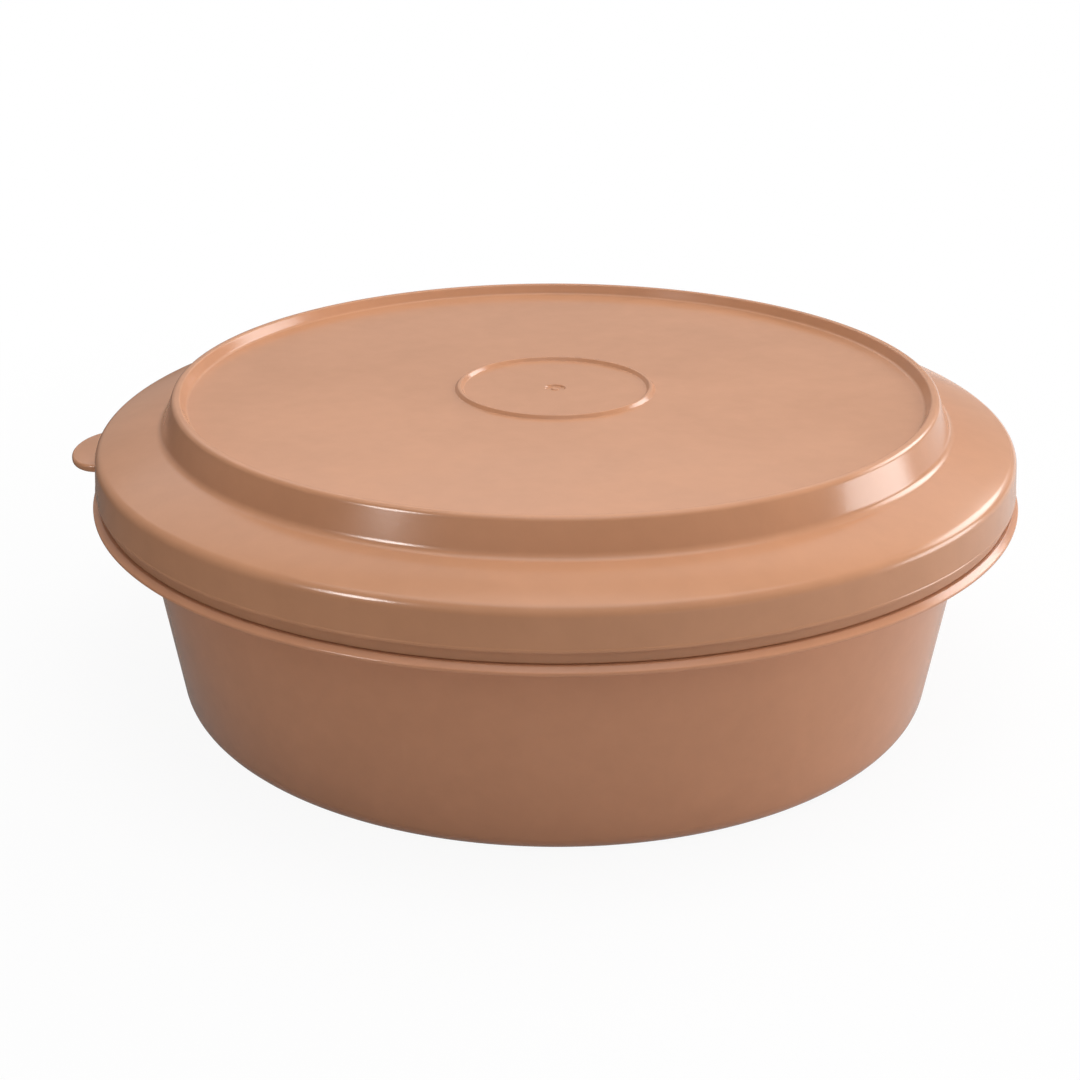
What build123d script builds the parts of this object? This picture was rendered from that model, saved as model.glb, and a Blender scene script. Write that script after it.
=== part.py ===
from build123d import *
from math import hypot
import os

# Round tortilla warmer: a moulded bowl with a stepped rim, and a lid that lifts off it.
# The origin is on the axis, on the surface that the bowl stands on. Both pieces are
# sections turned about the axis, drawn as (radius, height) in the upright plane.

# Everything across is measured from the lid's lip
lip_radius = 116.5

# Bowl
flange_overhang = 0.9  # the flange reaches this far beyond the lip
flange_reach = 11.4  # from the bowl's wall to the flange's edge
flange_thickness = 1.8
flange_bevel = 0.8
neck_height = 53.7  # underside of the flange
wall_lean = 8.0  # the wall is this much further in at the table
bowl_wall = 2.0
bowl_floor = 2.2
base_round = 5.0
floor_bevel = 2.0  # where the floor meets the wall inside
foot_width = 4.0  # ring that the bowl stands on
foot_recess = 0.8  # the base inside the foot is set up by this much

collar_height = 11.0  # above the flange
collar_thickness = 1.8
collar_bevel = 0.6  # leads the lid onto the collar

# Lid, with its heights measured up from the underside of its lip
lip_height = 3.0  # from the flange to the lip
lip_edge = 0.9
lip_flare = 0.5
flare_height = 2.6
lower_skirt_inset = 0.8  # the skirt below the lip is set in by this much
skirt_lean = 0.8
shoulder_height = 9.6
shoulder_width = 15.9
shoulder_bulge = 0.4
shoulder_bevel = 1.7
plateau_foot_height = 13.6
slope_lean = 3.1
crest_height = 21.3
crest_width = 1.9
crest_bevel = 0.5
disc_depth = 2.7  # the top disc is sunk below the crest
disc_lean = 1.4  # how far the crest's inner side leans in
disc_thickness = 2.0
lid_wall = 1.8
lid_clearance = 0.3  # between the lid's skirt and the bowl's collar

# Thin raised ring on the lid's disc, and the gate mark that moulding leaves in the middle
ring_radius = 24.8
ring_width = 2.1
ring_height = 1.1
ring_side_angle = 62
gate_radius = 2.7
gate_depth = 0.5

# Thumb tab on the lid
tab_reach = 8.5  # beyond the lip
tab_half_width = 13.7
tab_thickness = 2.0

# Levels and radii that follow
flange_level = neck_height + flange_thickness
collar_level = flange_level + collar_height
lip_level = flange_level + lip_height
shoulder_level = lip_level + shoulder_height
plateau_foot_level = lip_level + plateau_foot_height
crest_level = lip_level + crest_height
disc_level = crest_level - disc_depth

lower_skirt_radius = lip_radius - lower_skirt_inset
shoulder_radius = lip_radius - lip_flare - skirt_lean
skirt_inside = shoulder_radius - lid_wall
plateau_foot_radius = shoulder_radius - shoulder_width
crest_radius = plateau_foot_radius - slope_lean

collar_radius = skirt_inside - lid_clearance
collar_inside = collar_radius - collar_thickness
flange_radius = lip_radius + flange_overhang
neck_radius = flange_radius - flange_reach
base_radius = neck_radius - wall_lean
foot_inside = base_radius - base_round - foot_width


def bowl_wall_radius(height):
    """Outside radius of the bowl's leaning wall."""
    return base_radius + (neck_radius - base_radius) * height / neck_height


def slope_radius(level):
    """Outside radius of the plateau's steep side."""
    drop = (crest_level - level) / (crest_level - plateau_foot_level)
    return crest_radius + (plateau_foot_radius - crest_radius) * drop


def shoulder_top(radius):
    """Height of the shoulder's straight chord."""
    share = (radius - plateau_foot_radius) / (shoulder_radius - plateau_foot_radius)
    return plateau_foot_level + (shoulder_level - plateau_foot_level) * share


def round_corner(section, point, size):
    """Round the corner of a section that lies nearest to a point."""
    fillet(section.vertices().sort_by_distance(point)[0], radius=size)


def bevel_corner(section, point, size):
    """Bevel the corner of a section that lies nearest to a point."""
    chamfer(section.vertices().sort_by_distance(point)[0], length=size)


# A wall's thickness measured across its slope, in radius or in height
bowl_wall_across = bowl_wall * hypot(neck_height, neck_radius - base_radius) / neck_height
slope_rise = crest_level - plateau_foot_level
slope_run = plateau_foot_radius - crest_radius
slope_across = lid_wall * hypot(slope_rise, slope_run) / slope_rise
shoulder_run = shoulder_radius - plateau_foot_radius
shoulder_fall = plateau_foot_level - shoulder_level
shoulder_thickness = lid_wall * hypot(shoulder_run, shoulder_fall) / shoulder_run

# Bowl: foot, leaning wall, flange, and the collar that the lid goes over
base_corner = (base_radius, 0)
flange_corner = (flange_radius, flange_level)
collar_corner = (collar_radius, collar_level)
floor_corner = (bowl_wall_radius(bowl_floor) - bowl_wall_across, bowl_floor)

with BuildPart() as bowl:
    with BuildSketch(Plane.XZ) as bowl_section:
        with BuildLine():
            Polyline(
                (0, foot_recess),
                (foot_inside, foot_recess),
                (foot_inside, 0),
                base_corner,
                (neck_radius, neck_height),
                (flange_radius, neck_height),
                flange_corner,
                (collar_radius, flange_level),
                collar_corner,
                (collar_inside, collar_level),
                (collar_inside, flange_level),
                (bowl_wall_radius(flange_level) - bowl_wall_across, flange_level),
                floor_corner,
                (0, bowl_floor),
                close=True,
            )
        make_face()
        round_corner(bowl_section, base_corner, base_round)
        bevel_corner(bowl_section, flange_corner, flange_bevel)
        bevel_corner(bowl_section, collar_corner, collar_bevel)
        bevel_corner(bowl_section, floor_corner, floor_bevel)
    revolve(axis=Axis.Z)

# Lid: sunk disc, raised crest, steep side, shoulder, and a skirt that steps in below its lip
crest_inner = (crest_radius - crest_width, crest_level)
crest_outer = (crest_radius, crest_level)
plateau_foot = (plateau_foot_radius, plateau_foot_level)
shoulder_corner = (shoulder_radius, shoulder_level)
hollow_foot_level = plateau_foot_level - shoulder_thickness
hollow_level = disc_level - disc_thickness

with BuildPart() as lid:
    with BuildSketch(Plane.XZ) as lid_section:
        with BuildLine():
            Polyline(
                (0, hollow_level),
                (0, disc_level),
                (crest_radius - crest_width - disc_lean, disc_level),
                crest_inner,
                crest_outer,
                plateau_foot,
            )
            SagittaArc(plateau_foot, shoulder_corner, shoulder_bulge)
            Polyline(
                shoulder_corner,
                (lip_radius - lip_flare, lip_level + flare_height),
                (lip_radius, lip_level + lip_edge),
                (lip_radius, lip_level),
                (lower_skirt_radius, lip_level),
                (lower_skirt_radius, flange_level),
                (skirt_inside, flange_level),
                (skirt_inside, shoulder_top(skirt_inside) - shoulder_thickness),
                (slope_radius(hollow_foot_level) - slope_across, hollow_foot_level),
                (slope_radius(hollow_level) - slope_across, hollow_level),
                (0, hollow_level),
            )
        make_face()
        bevel_corner(lid_section, crest_inner, crest_bevel)
        bevel_corner(lid_section, crest_outer, crest_bevel)
        bevel_corner(lid_section, shoulder_corner, shoulder_bevel)
    revolve(axis=Axis.Z)

    # Thin raised ring around the middle of the disc
    with BuildSketch(Plane.XZ):
        with Locations((ring_radius, disc_level)):
            Trapezoid(ring_width, ring_height, ring_side_angle, align=(Align.CENTER, Align.MIN))
    revolve(axis=Axis.Z)

    # Thumb tab: half an ellipse that grows out of the skirt at the lip
    with BuildSketch(Plane.XY.offset(lip_level)):
        with Locations((-lip_radius, 0)):
            Ellipse(tab_reach, tab_half_width)
        Circle((skirt_inside + shoulder_radius) / 2, mode=Mode.SUBTRACT)
    extrude(amount=tab_thickness)

    # Gate mark on the disc, a shallow dimple
    with BuildSketch(Plane.XY.offset(disc_level)):
        Circle(gate_radius)
    extrude(amount=-gate_depth, mode=Mode.SUBTRACT)

os.makedirs("parts", exist_ok=True)
bowl.part.label = "bowl"
lid.part.label = "lid"
export_step(bowl.part, "parts/bowl.step")
export_step(lid.part, "parts/lid.step")
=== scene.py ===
import math

import bmesh
import bpy
from mathutils import Matrix, Vector


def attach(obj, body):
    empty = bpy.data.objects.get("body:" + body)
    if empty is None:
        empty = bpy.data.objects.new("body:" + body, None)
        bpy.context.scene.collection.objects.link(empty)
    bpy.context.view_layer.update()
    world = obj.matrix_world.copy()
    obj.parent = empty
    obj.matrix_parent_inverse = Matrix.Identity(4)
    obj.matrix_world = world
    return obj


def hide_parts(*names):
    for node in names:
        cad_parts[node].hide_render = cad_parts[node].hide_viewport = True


# A round plastic tortilla warmer: a bowl with leaning walls and a beaded flange, and its lift-off
# lid. Both are turned shapes. Their sections are lists of corners in millimetres, (radius, height,
# rounding), and Geometry Nodes turn them about the upright axis.

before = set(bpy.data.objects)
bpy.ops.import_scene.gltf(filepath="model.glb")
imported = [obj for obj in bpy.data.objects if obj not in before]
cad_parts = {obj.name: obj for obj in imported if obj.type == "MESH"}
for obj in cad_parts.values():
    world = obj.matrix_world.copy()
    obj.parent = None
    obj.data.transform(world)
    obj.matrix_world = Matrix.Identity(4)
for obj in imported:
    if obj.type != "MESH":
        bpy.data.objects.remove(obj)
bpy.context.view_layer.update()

mm = 0.001

# how finely sections are drawn and turned, in millimetres unless a note says otherwise
fineness = {
    "turnPerStep": 9,  # degrees of a rounding from one point to the next
    "leastSteps": 3,
    "straight": 0.01,  # a bend of fewer radians gets no rounding
    "guard": 0.2,  # from a rounding to the guard point beside it, at most
    "guardShare": 0.3,  # and at most this share of the rounding's reach
    "plainRoom": 0.97,  # share of a run that a rounding may take when the far end is plain
    "sharedRoom": 0.49,  # and when the far end is rounded too
    "closest": 0.004,  # points nearer than this to the last one are left out
    "bulgeSteps": 10,
    "stepsAround": 288,
    "pathRadius": 0.1,  # metres, of the circle that carries a section round
    "weldDistance": 0.000002,  # metres
}


def cornerPoints(before, corner, after, rounding, room):
    # the arc that rounds a corner, and a guard point on each side that keeps the runs flat
    here = Vector(corner)
    back = Vector(before) - here
    ahead = Vector(after) - here
    if rounding <= 0:
        return [here]
    between = back.angle(ahead)
    if between > math.pi - fineness["straight"]:
        return [here]
    reach = rounding / math.tan(between / 2)
    longest = min(back.length * room[0], ahead.length * room[1])
    if reach > longest:
        reach = longest
        rounding = reach * math.tan(between / 2)
    back.normalize()
    ahead.normalize()
    centre = here + (back + ahead).normalized() * rounding / math.sin(between / 2)
    start = here + back * reach
    end = here + ahead * reach
    bend = math.pi - between
    steps = max(fineness["leastSteps"], math.ceil(bend / math.radians(fineness["turnPerStep"])))
    spin = math.copysign(bend / steps, (start - centre).cross(end - centre))
    guard = min(fineness["guard"], fineness["guardShare"] * reach)
    arm = start - centre
    points = [start + back * guard]
    for step in range(steps + 1):
        across = math.cos(spin * step)
        along = math.sin(spin * step)
        points.append(
            centre + Vector((arm.x * across - arm.y * along, arm.x * along + arm.y * across))
        )
    points.append(end + ahead * guard)
    return points


def bulgedRun(start, end, rise):
    # corners along a shallow arc between two points, leaving out the points themselves
    first = Vector(start)
    chord = Vector(end) - first
    side = Vector((-chord.y, chord.x)).normalized()
    run = []
    for step in range(1, fineness["bulgeSteps"]):
        share = step / fineness["bulgeSteps"]
        point = first + chord * share + side * (4 * rise * share * (1 - share))
        run.append((point.x, point.y, 0))
    return run


def gateMark(level, into, mark):
    # the dimple that moulding leaves where the plastic came in, with its pip, from the axis out
    pipTop = level + into * mark["depth"] * mark["pipShare"]
    deepest = level + into * mark["depth"]
    edge = mark["edgeRound"]
    return [
        (0, pipTop, 0),
        (mark["pipRadius"], pipTop, edge),
        (mark["pipRadius"] + mark["pipLean"], deepest, edge),
        (mark["radius"] - mark["lean"], deepest, edge),
        (mark["radius"], level, mark["rimRound"]),
    ]


def roundedSection(corners):
    # an open section that begins and ends on the axis
    flat = [corner[:2] for corner in corners]
    points = [Vector(flat[0])]
    for index in range(1, len(corners) - 1):
        room = [
            fineness["sharedRoom"] if corners[other][2] > 0 else fineness["plainRoom"]
            for other in (index - 1, index + 1)
        ]
        points += cornerPoints(*flat[index - 1 : index + 2], corners[index][2], room)
    points.append(Vector(flat[-1]))
    kept = [points[0]]
    for point in points[1:]:
        if (point - kept[-1]).length > fineness["closest"]:
            kept.append(point)
    return kept


def inputNumber(tree, name, kind, value):
    socket = tree.interface.new_socket(name, in_out="INPUT", socket_type=kind)
    socket.default_value = value


def turningTree():
    # carries a section round a circle about the upright axis, and welds it where it meets
    tree = bpy.data.node_groups.new("turnAboutAxis", "GeometryNodeTree")
    tree.interface.new_socket("Section", in_out="INPUT", socket_type="NodeSocketGeometry")
    inputNumber(tree, "Steps Around", "NodeSocketInt", fineness["stepsAround"])
    inputNumber(tree, "Path Radius", "NodeSocketFloat", fineness["pathRadius"])
    inputNumber(tree, "Weld Distance", "NodeSocketFloat", fineness["weldDistance"])
    tree.interface.new_socket("Plastic", in_out="INPUT", socket_type="NodeSocketMaterial")
    tree.interface.new_socket("Turned", in_out="OUTPUT", socket_type="NodeSocketGeometry")
    nodes = tree.nodes
    link = tree.links.new
    given = nodes.new("NodeGroupInput")
    made = nodes.new("NodeGroupOutput")

    section = nodes.new("GeometryNodeMeshToCurve")
    link(given.outputs["Section"], section.inputs["Mesh"])

    # the section is drawn from the axis, so it moves in by the radius of the path that carries it
    inward = numberMath(tree, "MULTIPLY", given.outputs["Path Radius"], -1)
    shift = nodes.new("ShaderNodeCombineXYZ")
    link(inward, shift.inputs["X"])
    placed = nodes.new("GeometryNodeTransform")
    placed.inputs["Scale"].default_value = (1, -1, 1)
    link(section.outputs["Curve"], placed.inputs["Geometry"])
    link(shift.outputs[0], placed.inputs["Translation"])

    path = nodes.new("GeometryNodeCurvePrimitiveCircle")
    link(given.outputs["Steps Around"], path.inputs["Resolution"])
    link(given.outputs["Path Radius"], path.inputs["Radius"])
    upright = nodes.new("GeometryNodeSetCurveNormal")
    upright.mode = "Z_UP"
    link(path.outputs["Curve"], upright.inputs["Curve"])

    sweep = nodes.new("GeometryNodeCurveToMesh")
    link(upright.outputs["Curve"], sweep.inputs["Curve"])
    link(placed.outputs["Geometry"], sweep.inputs["Profile Curve"])
    weld = nodes.new("GeometryNodeMergeByDistance")
    link(sweep.outputs["Mesh"], weld.inputs["Geometry"])
    link(given.outputs["Weld Distance"], weld.inputs["Distance"])
    smooth = nodes.new("GeometryNodeSetShadeSmooth")
    link(weld.outputs["Geometry"], smooth.inputs["Geometry"])
    real = nodes.new("GeometryNodeRealizeInstances")
    link(smooth.outputs["Geometry"], real.inputs["Geometry"])
    painted = nodes.new("GeometryNodeSetMaterial")
    link(real.outputs["Geometry"], painted.inputs["Geometry"])
    link(given.outputs["Plastic"], painted.inputs["Material"])
    link(painted.outputs["Geometry"], made.inputs["Turned"])
    return tree


def setInput(modifier, name, value):
    for item in modifier.node_group.interface.items_tree:
        if item.item_type == "SOCKET" and item.in_out == "INPUT" and item.name == name:
            modifier[item.identifier] = value


def cleanMesh(mesh):
    near = fineness["weldDistance"]
    work = bmesh.new()
    work.from_mesh(mesh)
    bmesh.ops.remove_doubles(work, verts=work.verts, dist=near)
    bmesh.ops.dissolve_degenerate(work, edges=work.edges, dist=near / 2)
    bmesh.ops.recalc_face_normals(work, faces=work.faces)
    work.to_mesh(mesh)
    work.free()
    mesh.update()


def evaluatedMesh(piece):
    evaluated = piece.evaluated_get(bpy.context.evaluated_depsgraph_get())
    return bpy.data.meshes.new_from_object(evaluated)


def addPiece(name, data):
    piece = bpy.data.objects.new(name, data)
    bpy.context.scene.collection.objects.link(piece)
    return piece


def turnedPiece(name, section, plastic, tree):
    points = [(point.x * mm, point.y * mm, 0) for point in section]
    edges = [(index, index + 1) for index in range(len(points) - 1)]
    sectionMesh = bpy.data.meshes.new(name + "Section")
    sectionMesh.from_pydata(points, edges, [])
    drawn = addPiece(name + "Section", sectionMesh)
    turning = drawn.modifiers.new("turning", "NODES")
    turning.node_group = tree
    setInput(turning, "Plastic", plastic)
    mesh = evaluatedMesh(drawn)
    drawn.modifiers.remove(turning)
    bpy.data.objects.remove(drawn)
    mesh.name = name
    cleanMesh(mesh)
    print(name, "turned:", len(mesh.vertices), "points,", len(mesh.polygons), "faces")
    return addPiece(name, mesh)


def emptyTree(owner):
    owner.use_nodes = True
    owner.node_tree.nodes.clear()
    return owner.node_tree


def feed(tree, socket, value):
    # what goes into a socket is another node's output or a plain number
    if isinstance(value, bpy.types.NodeSocket):
        tree.links.new(value, socket)
    else:
        socket.default_value = value


def numberMath(tree, operation, *values):
    node = tree.nodes.new("ShaderNodeMath")
    node.operation = operation
    for socket, value in zip(node.inputs, values):
        feed(tree, socket, value)
    return node.outputs[0]


def numberBlend(tree, share, low, high):
    # a Mix node's sockets for plain numbers are 0, 2 and 3
    node = tree.nodes.new("ShaderNodeMix")
    node.data_type = "FLOAT"
    feed(tree, node.inputs[0], share)
    feed(tree, node.inputs[2], low)
    feed(tree, node.inputs[3], high)
    return node.outputs[0]


def numberRange(tree, value, given, wanted, easing="LINEAR"):
    node = tree.nodes.new("ShaderNodeMapRange")
    node.interpolation_type = easing
    for name, number in zip(("From Min", "From Max", "To Min", "To Max"), (*given, *wanted)):
        node.inputs[name].default_value = number
    tree.links.new(value, node.inputs["Value"])
    return node.outputs["Result"]


# The two plastics. Sizes of clouds, flecks, peel and waves are in repeats per metre.
plasticLook = {
    "lid": (0.515, 0.246, 0.131),
    "bowl": (0.565, 0.263, 0.143),
    "flowShade": 0.93,  # the darker streaks, as a share of the colour
    "shadeSpan": (0.36, 0.64),
    "cloudSize": 34.0,
    "cloudDetail": 4,
    "cloudRoughness": 0.55,
    "cloudDistortion": 0.6,
    "fleckSize": 210.0,
    "fleckDetail": 3,
    "fleckShare": 0.35,
    "roughness": 0.19,
    "roughnessSwing": 0.03,
    "roughnessSpan": (0.3, 0.7),
    "peelSize": 1100.0,
    "peelDetail": 2,
    "peelDepth": 0.000012,
    "waveSize": 26.0,
    "waveDetail": 1,
    "waveDepth": 0.00012,
    "ior": 1.47,
}


def cloudyNoise(tree, place, size, detail):
    noise = tree.nodes.new("ShaderNodeTexNoise")
    noise.inputs["Scale"].default_value = size
    noise.inputs["Detail"].default_value = detail
    tree.links.new(place, noise.inputs["Vector"])
    return noise


def relief(tree, height, depth):
    bump = tree.nodes.new("ShaderNodeBump")
    bump.inputs["Distance"].default_value = depth
    bump.inputs["Strength"].default_value = 1
    tree.links.new(height, bump.inputs["Height"])
    return bump


def mouldedPlastic(name, colour):
    look = plasticLook
    material = bpy.data.materials.new(name)
    tree = emptyTree(material)
    nodes = tree.nodes
    link = tree.links.new
    output = nodes.new("ShaderNodeOutputMaterial")
    shader = nodes.new("ShaderNodeBsdfPrincipled")
    shader.inputs["IOR"].default_value = look["ior"]
    link(shader.outputs["BSDF"], output.inputs["Surface"])
    place = nodes.new("ShaderNodeTexCoord").outputs["Object"]

    # clouds and flecks that the melt leaves where it flows
    clouds = cloudyNoise(tree, place, look["cloudSize"], look["cloudDetail"])
    clouds.inputs["Roughness"].default_value = look["cloudRoughness"]
    clouds.inputs["Distortion"].default_value = look["cloudDistortion"]
    flecks = cloudyNoise(tree, place, look["fleckSize"], look["fleckDetail"])
    flow = numberBlend(tree, look["fleckShare"], clouds.outputs["Fac"], flecks.outputs["Fac"])
    shades = nodes.new("ShaderNodeValToRGB")
    dark = [channel * look["flowShade"] for channel in colour]
    stops = shades.color_ramp.elements
    for stop, position, shade in zip(stops, look["shadeSpan"], (dark, colour)):
        stop.position = position
        stop.color = (*shade, 1)
    link(flow, shades.inputs["Fac"])
    link(shades.outputs["Color"], shader.inputs["Base Color"])

    # satin finish, a little uneven
    swing = look["roughnessSwing"]
    limits = (look["roughness"] - swing, look["roughness"] + swing)
    satin = numberRange(tree, clouds.outputs["Fac"], look["roughnessSpan"], limits)
    link(satin, shader.inputs["Roughness"])

    # orange peel over slow waves
    peel = cloudyNoise(tree, place, look["peelSize"], look["peelDetail"])
    waves = cloudyNoise(tree, place, look["waveSize"], look["waveDetail"])
    slow = relief(tree, waves.outputs["Fac"], look["waveDepth"])
    fine = relief(tree, peel.outputs["Fac"], look["peelDepth"])
    link(slow.outputs["Normal"], fine.inputs["Normal"])
    link(fine.outputs["Normal"], shader.inputs["Normal"])
    return material


lidPlastic = mouldedPlastic("lidPlastic", plasticLook["lid"])
bowlPlastic = mouldedPlastic("bowlPlastic", plasticLook["bowl"])
turning = turningTree()
print("plastics and turning tree made")


# Bowl: foot, leaning wall, sloping flange with a beaded edge, and the collar under the lid
bowl = {
    "baseRadius": 98.0,
    "neckRadius": 106.0,
    "neckHeight": 53.7,
    "wall": 2.0,
    "wallAcross": 1.011,  # the level thickness of the leaning wall, as a multiple of the wall
    "floor": 2.2,
    "footInside": 89.0,
    "footLean": 0.3,
    "footRecess": 0.8,
    "footRound": 0.3,
    "flangeRadius": 117.4,
    "flangeLevel": 55.5,
    "collarRadius": 113.1,
    "collarInside": 111.3,
    "collarLevel": 66.5,
    "collarFootRound": 0.4,
    "collarRound": 0.7,
    "baseRound": 5.0,
    "insideRound": 3.6,
    "neckRound": 1.2,
    "beadRadius": 116.0,  # the flange slopes down from here to its edge
    "beadLevel": 54.5,
    "beadRound": 0.35,
    "beadLowerRound": 0.38,
    "ledgeRound": 1.2,
    "gate": {
        "radius": 2.7,
        "lean": 0.3,
        "depth": 0.45,
        "pipRadius": 0.8,
        "pipLean": 0.3,
        "pipShare": 0.4,  # how far down the pip's top lies, as a share of the depth
        "edgeRound": 0.2,
        "rimRound": 0.2,
    },
}


def bowlInside(height):
    rise = (bowl["neckRadius"] - bowl["baseRadius"]) / bowl["neckHeight"]
    return bowl["baseRadius"] + rise * height - bowl["wall"] * bowl["wallAcross"]


def bowlCorners():
    flange = bowl["flangeLevel"]
    collarTop = bowl["collarLevel"]
    edge = bowl["flangeRadius"]
    return [
        *gateMark(bowl["footRecess"], 1, bowl["gate"]),
        (bowl["footInside"] - bowl["footLean"], bowl["footRecess"], bowl["footRound"]),
        (bowl["footInside"], 0, bowl["footRound"]),
        (bowl["baseRadius"], 0, bowl["baseRound"]),
        (bowl["neckRadius"], bowl["neckHeight"], bowl["neckRound"]),
        (edge, bowl["neckHeight"], bowl["beadLowerRound"]),
        (edge, bowl["beadLevel"], bowl["beadLowerRound"]),
        (bowl["beadRadius"], flange, bowl["beadRound"]),
        (bowl["collarRadius"], flange, bowl["collarFootRound"]),
        (bowl["collarRadius"], collarTop, bowl["collarRound"]),
        (bowl["collarInside"], collarTop, bowl["collarRound"]),
        (bowl["collarInside"], flange, bowl["ledgeRound"]),
        (bowlInside(flange), flange, bowl["ledgeRound"]),
        (bowlInside(bowl["floor"]), bowl["floor"], bowl["insideRound"]),
        (0, bowl["floor"], 0),
    ]


bowlPiece = turnedPiece("bowlShell", roundedSection(bowlCorners()), bowlPlastic, turning)
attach(bowlPiece, "bowl")
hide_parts("bowl")


# Lid: sunk disc with its ring, crest, steep side, shoulder, and a skirt with a thin lip
lid = {
    "discLevel": 77.1,
    "discRadius": 92.9,
    "discRound": 0.9,
    "crestInner": 94.3,
    "crestInnerRound": 0.6,
    "crestOuter": 96.2,
    "crestLevel": 79.8,
    "crestRound": 1.8,
    "plateauFoot": (99.45, 71.8),
    "footRound": 2.3,
    "shoulder": (115.8, 67.8),
    "shoulderBulge": 0.4,
    "shoulderRound": 2.6,
    "skirtFoot": (116.41, 59.3),
    "skirtFootRound": 0.25,
    "lipRadius": 116.5,
    "lipTop": 59.05,
    "lipLevel": 58.5,
    "lipRound": 0.12,
    "lowerSkirt": 115.4,
    "lowerSkirtRound": 0.25,
    "toeRound": 0.5,
    "wall": 1.8,
    "skirtInside": 113.4,
    "skirtInsideRound": 0.4,
    "hollowLevel": 75.1,
    "hollowInset": 0.05,  # from the crest's outside to the hollow's edge
    "hollowRound": 1.2,
    "innerFootInset": 2.5,
    "innerShoulderDrop": 1.3,
    "innerShoulderRound": 0.7,
    "ringRadius": 24.5,
    "ringHalfWidth": 1.12,
    "ringTopHalf": 0.36,
    "ringHeight": 0.92,
    "ringRound": 0.42,
    "ringFootRound": 0.3,
    "gate": {
        "radius": 2.7,
        "lean": 0.35,
        "depth": 0.45,
        "pipRadius": 0.8,
        "pipLean": 0.3,
        "pipShare": 0.35,
        "edgeRound": 0.2,
        "rimRound": 0.25,
    },
}


def ringCorners():
    disc = lid["discLevel"]
    top = disc + lid["ringHeight"]
    ring = lid["ringRadius"]
    return [
        (ring - lid["ringHalfWidth"], disc, lid["ringFootRound"]),
        (ring - lid["ringTopHalf"], top, lid["ringRound"]),
        (ring + lid["ringTopHalf"], top, lid["ringRound"]),
        (ring + lid["ringHalfWidth"], disc, lid["ringFootRound"]),
    ]


def lidCorners():
    foot = lid["plateauFoot"]
    shoulder = lid["shoulder"]
    bulge = lid["shoulderBulge"]
    innerFoot = (foot[0] - lid["innerFootInset"], foot[1] - lid["wall"])
    innerShoulder = (lid["skirtInside"], shoulder[1] - lid["innerShoulderDrop"])
    return [
        *gateMark(lid["discLevel"], -1, lid["gate"]),
        *ringCorners(),
        (lid["discRadius"], lid["discLevel"], lid["discRound"]),
        (lid["crestInner"], lid["crestLevel"], lid["crestInnerRound"]),
        (lid["crestOuter"], lid["crestLevel"], lid["crestRound"]),
        (*foot, lid["footRound"]),
        *bulgedRun(foot, shoulder, bulge)[1:-1],  # the end ones make room for the roundings
        (*shoulder, lid["shoulderRound"]),
        (*lid["skirtFoot"], lid["skirtFootRound"]),
        (lid["lipRadius"], lid["lipTop"], lid["lipRound"]),
        (lid["lipRadius"], lid["lipLevel"], lid["lipRound"]),
        (lid["lowerSkirt"], lid["lipLevel"], lid["lowerSkirtRound"]),
        (lid["lowerSkirt"], bowl["flangeLevel"], lid["toeRound"]),
        (lid["skirtInside"], bowl["flangeLevel"], lid["skirtInsideRound"]),
        (*innerShoulder, lid["innerShoulderRound"]),
        *bulgedRun(innerShoulder, innerFoot, -bulge),
        (*innerFoot, lid["hollowRound"]),
        (lid["crestOuter"] - lid["hollowInset"], lid["hollowLevel"], lid["hollowRound"]),
        (0, lid["hollowLevel"], 0),
    ]


lidPiece = turnedPiece("lidShell", roundedSection(lidCorners()), lidPlastic, turning)

# Thumb tab: half an ellipse with soft edges, joined to the skirt
tab = {
    "reach": 8.5,
    "halfWidth": 13.7,
    "thickness": 2.0,
    "edgeRound": 0.75,
    "edgeSegments": 6,
    "root": 114.3,  # inside the wall of the skirt
    "rootSteps": 8,
    "steps": 48,
    "slack": 0.001,  # points this near to each other's level or to the lip count as on it
    "sharpAngle": 38,  # degrees, from which the joined lid keeps an edge sharp
}


def tabOutline():
    # the ellipse outside the skirt, then an arc back inside its wall
    half = tab["halfWidth"]
    outline = []
    for step in range(tab["steps"] + 1):
        angle = math.pi / 2 + math.pi * step / tab["steps"]
        x = -lid["lipRadius"] + tab["reach"] * math.cos(angle)
        outline.append((x * mm, half * math.sin(angle) * mm))
    for step in range(tab["rootSteps"] + 1):
        y = -half + 2 * half * step / tab["rootSteps"]
        outline.append((-math.sqrt(tab["root"] ** 2 - y**2) * mm, y * mm))
    return outline


def tabMesh():
    work = bmesh.new()
    low = [work.verts.new((x, y, lid["lipLevel"] * mm)) for x, y in tabOutline()]
    raised = bmesh.ops.extrude_face_region(work, geom=[work.faces.new(low)])
    high = [item for item in raised["geom"] if isinstance(item, bmesh.types.BMVert)]
    bmesh.ops.translate(work, verts=high, vec=(0, 0, tab["thickness"] * mm))
    bmesh.ops.recalc_face_normals(work, faces=work.faces)

    # the upper and lower edges of the ellipse are rounded, and the root stays plain
    slack = tab["slack"] * mm
    outside = -lid["lipRadius"] * mm + slack
    rim = []
    for edge in work.edges:
        one, other = (end.co for end in edge.verts)
        if abs(one.z - other.z) < slack and max(one.x, other.x) < outside:
            rim.append(edge)
    bmesh.ops.bevel(
        work,
        geom=rim,
        offset=tab["edgeRound"] * mm,
        segments=tab["edgeSegments"],
        profile=0.5,  # round
        affect="EDGES",
    )
    mesh = bpy.data.meshes.new("thumbTab")
    work.to_mesh(mesh)
    work.free()
    return mesh


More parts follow.
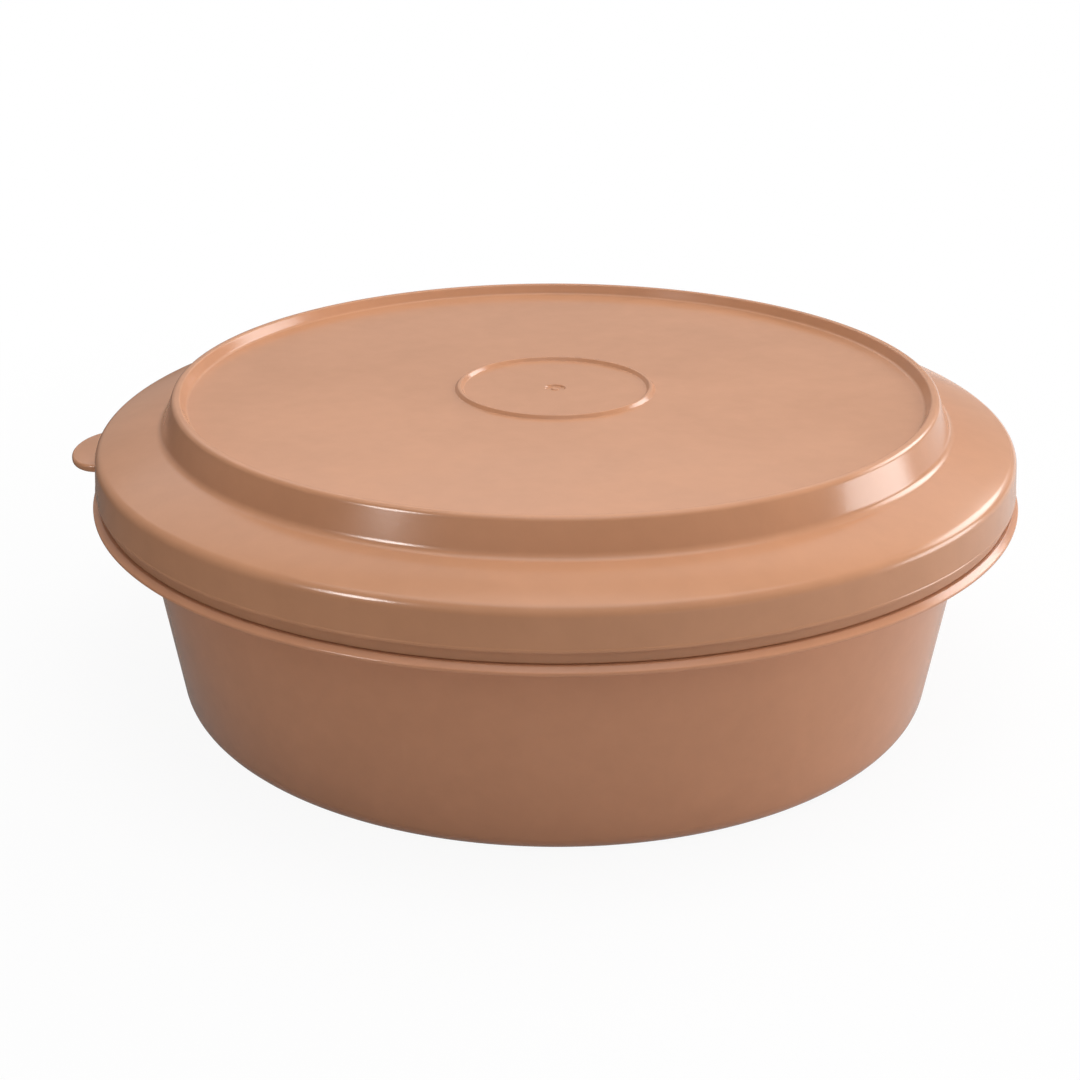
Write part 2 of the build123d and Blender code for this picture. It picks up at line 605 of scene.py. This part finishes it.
tabPiece = addPiece("thumbTab", tabMesh())
joining = lidPiece.modifiers.new("joining", "BOOLEAN")
joining.operation = "UNION"
joining.solver = "EXACT"
joining.object = tabPiece
joined = evaluatedMesh(lidPiece)
lidPiece.modifiers.remove(joining)
bpy.data.objects.remove(tabPiece)
lidPiece.data = joined
joined.name = "lidShell"
cleanMesh(joined)
for face in joined.polygons:
    face.use_smooth = True
joined.set_sharp_from_angle(angle=math.radians(tab["sharpAngle"]))
print("thumb tab joined:", len(joined.polygons), "faces")

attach(lidPiece, "lid")
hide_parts("lid")


# Studio. A turn is the bearing from the front towards the right and a rise is the height above
# the floor, both in degrees, and lengths are in metres.
studio = {
    "floorSize": 12.0,
    "floorColour": 0.7,
    "seenWhite": 1.0,  # the glow of the floor and the room as the camera sees them
    "floorGlow": (0.93, 1.0),  # share of that glow beside the warmer and far from it
    "floorFade": (0.13, 0.4),  # where that share begins and ends to rise, from the middle
    "worldSoft": 0.9,  # share of the room's tones in the plain shading
    "evenSoft": 0.12,  # and what is added to it from all sides
    # what a gloss sees: the direction of the bright side, then dim and bright tones
    "floorGloss": {"turn": 100, "rise": 0, "tones": (0.07, 0.95), "spread": (-0.3, 0.45)},
    "roomGloss": {"turn": 135, "rise": 35, "tones": (0.112, 0.416), "spread": (-0.5, 0.8)},
    "lamps": {
        "rightLow": {"turn": 95, "rise": 8, "away": 1.0, "size": (0.54, 0.32), "glow": 6.3},
        "rightFill": {"turn": 90, "rise": 17, "away": 1.0, "size": (0.5, 0.3), "glow": 3.6},
        "rightHigh": {"turn": 122, "rise": 29, "away": 1.0, "size": (0.62, 0.32), "glow": 7.0},
        "leftStrip": {"turn": -46, "rise": 31, "away": 1.0, "size": (0.26, 0.28), "glow": 21.0},
        "leftVeil": {"turn": -42, "rise": 18, "away": 1.0, "size": (0.4, 0.2), "glow": 0.4},
        "backHigh": {"turn": 182, "rise": 41, "away": 1.0, "size": (1.5, 0.58), "glow": 0.5},
        "overhead": {"turn": 180, "rise": 84, "away": 1.0, "size": (1.1, 0.7), "glow": 1.25},
        "overFront": {"turn": 15, "rise": 74, "away": 0.65, "size": (0.4, 0.4), "glow": 4.2},
        "frontSoft": {"turn": -15, "rise": 36, "away": 1.0, "size": (0.9, 0.5), "glow": 0.85},
    },
    # lamps that show only in a gloss, and lamps that show only in the plain shading
    "glossOnly": ("leftStrip", "leftVeil"),
    "fillOnly": ("rightFill", "overFront", "frontSoft"),
}


def direction(turnAndRise):
    turn = math.radians(turnAndRise["turn"])
    rise = math.radians(turnAndRise["rise"])
    level = math.cos(rise)
    return Vector((math.sin(turn) * level, -math.cos(turn) * level, math.sin(rise)))


def makeLamps():
    for name, lamp in studio["lamps"].items():
        towards = direction(lamp)
        light = bpy.data.lights.new(name, "AREA")
        light.shape = "ELLIPSE"
        light.size, light.size_y = lamp["size"]
        ovalArea = math.pi / 4 * light.size * light.size_y
        light.energy = lamp["glow"] * math.pi * ovalArea
        stand = addPiece(name, light)
        stand.location = towards * lamp["away"]
        stand.rotation_euler = (-towards).to_track_quat("-Z", "Y").to_euler()
        stand.visible_camera = False
        stand.visible_diffuse = name not in studio["glossOnly"]
        stand.visible_glossy = name not in studio["fillOnly"]


def seenDirectly(tree, rays):
    # 1 for rays from the camera, in a gloss or through something clear
    seen = rays.outputs["Is Camera Ray"]
    for name in ("Is Glossy Ray", "Is Transmission Ray"):
        seen = numberMath(tree, "MAXIMUM", seen, rays.outputs[name])
    return seen


def glossTone(tree, place, gloss):
    # bright on one side and dim on the other, as a gloss shows the floor and the room
    along = tree.nodes.new("ShaderNodeVectorMath")
    along.operation = "DOT_PRODUCT"
    along.inputs[1].default_value = direction(gloss)
    tree.links.new(place, along.inputs[0])
    return numberRange(
        tree, along.outputs["Value"], gloss["spread"], gloss["tones"], easing="SMOOTHSTEP"
    )


def mixedShaders(tree, share, plain, seen, output):
    mix = tree.nodes.new("ShaderNodeMixShader")
    tree.links.new(share, mix.inputs["Fac"])
    tree.links.new(plain, mix.inputs[1])
    tree.links.new(seen, mix.inputs[2])
    tree.links.new(mix.outputs["Shader"], output.inputs["Surface"])


def paleFloor():
    material = bpy.data.materials.new("paleFloor")
    tree = emptyTree(material)
    nodes = tree.nodes
    link = tree.links.new
    output = nodes.new("ShaderNodeOutputMaterial")
    matte = nodes.new("ShaderNodeBsdfDiffuse")
    matte.inputs["Color"].default_value = (*[studio["floorColour"]] * 3, 1)
    place = nodes.new("ShaderNodeTexCoord").outputs["Object"]
    rays = nodes.new("ShaderNodeLightPath")
    cameraRay = rays.outputs["Is Camera Ray"]

    # the camera sees white, and a gloss sees the tones of the room
    tone = glossTone(tree, place, studio["floorGloss"])
    glow = nodes.new("ShaderNodeEmission")
    link(numberBlend(tree, cameraRay, tone, studio["seenWhite"]), glow.inputs["Strength"])

    # beside the warmer the camera also sees some of the matte floor, which carries the shadow
    distance = nodes.new("ShaderNodeVectorMath")
    distance.operation = "LENGTH"
    link(place, distance.inputs[0])
    glowShare = numberRange(
        tree,
        distance.outputs["Value"],
        studio["floorFade"],
        studio["floorGlow"],
        easing="SMOOTHSTEP",
    )
    share = numberBlend(tree, cameraRay, 1, glowShare)
    share = numberMath(tree, "MULTIPLY", seenDirectly(tree, rays), share)
    mixedShaders(tree, share, matte.outputs["BSDF"], glow.outputs["Emission"], output)
    return material


def makeFloor():
    half = studio["floorSize"] / 2
    mesh = bpy.data.meshes.new("studioFloor")
    corners = [(-half, -half, 0), (half, -half, 0), (half, half, 0), (-half, half, 0)]
    mesh.from_pydata(corners, [], [(0, 1, 2, 3)])
    floor = addPiece("studioFloor", mesh)
    mesh.materials.append(paleFloor())


def whiteBackground(tree, strength):
    background = tree.nodes.new("ShaderNodeBackground")
    background.inputs["Color"].default_value = (1, 1, 1, 1)
    tree.links.new(strength, background.inputs["Strength"])
    return background.outputs["Background"]


def makeWorld():
    world = bpy.data.worlds.new("studioWorld")
    bpy.context.scene.world = world
    tree = emptyTree(world)
    output = tree.nodes.new("ShaderNodeOutputWorld")
    way = tree.nodes.new("ShaderNodeTexCoord").outputs["Generated"]
    rays = tree.nodes.new("ShaderNodeLightPath")
    room = glossTone(tree, way, studio["roomGloss"])
    backdrop = numberBlend(tree, rays.outputs["Is Camera Ray"], room, studio["seenWhite"])
    fill = numberMath(tree, "MULTIPLY_ADD", room, studio["worldSoft"], studio["evenSoft"])
    mixedShaders(
        tree,
        seenDirectly(tree, rays),
        whiteBackground(tree, fill),
        whiteBackground(tree, backdrop),
        output,
    )


makeLamps()
makeFloor()
makeWorld()
print("lamps, floor and room made")


# Camera
view = {
    "place": (0, -0.4406, 0.2177),
    "pitch": 22.54,  # degrees down
    "yaw": -0.5,  # degrees towards the right
    "lens": 60,
    "sensor": 36,
    "reach": (0.01, 20),  # metres, the nearest and farthest that it sees
}


def makeCamera():
    lens = bpy.data.cameras.new("studioCamera")
    lens.lens = view["lens"]
    lens.sensor_width = view["sensor"]
    lens.clip_start, lens.clip_end = view["reach"]
    camera = addPiece("studioCamera", lens)
    pitch = math.radians(view["pitch"])
    yaw = math.radians(view["yaw"])
    level = math.cos(pitch)
    ahead = Vector((math.sin(yaw) * level, math.cos(yaw) * level, -math.sin(pitch)))
    right = Vector((math.cos(yaw), -math.sin(yaw), 0))
    up = right.cross(ahead)
    turned = Matrix((right, up, -ahead)).transposed().to_4x4()
    camera.matrix_world = Matrix.Translation(view["place"]) @ turned
    bpy.context.scene.camera = camera


makeCamera()
bpy.context.scene.view_settings.view_transform = "Standard"
print("camera made")
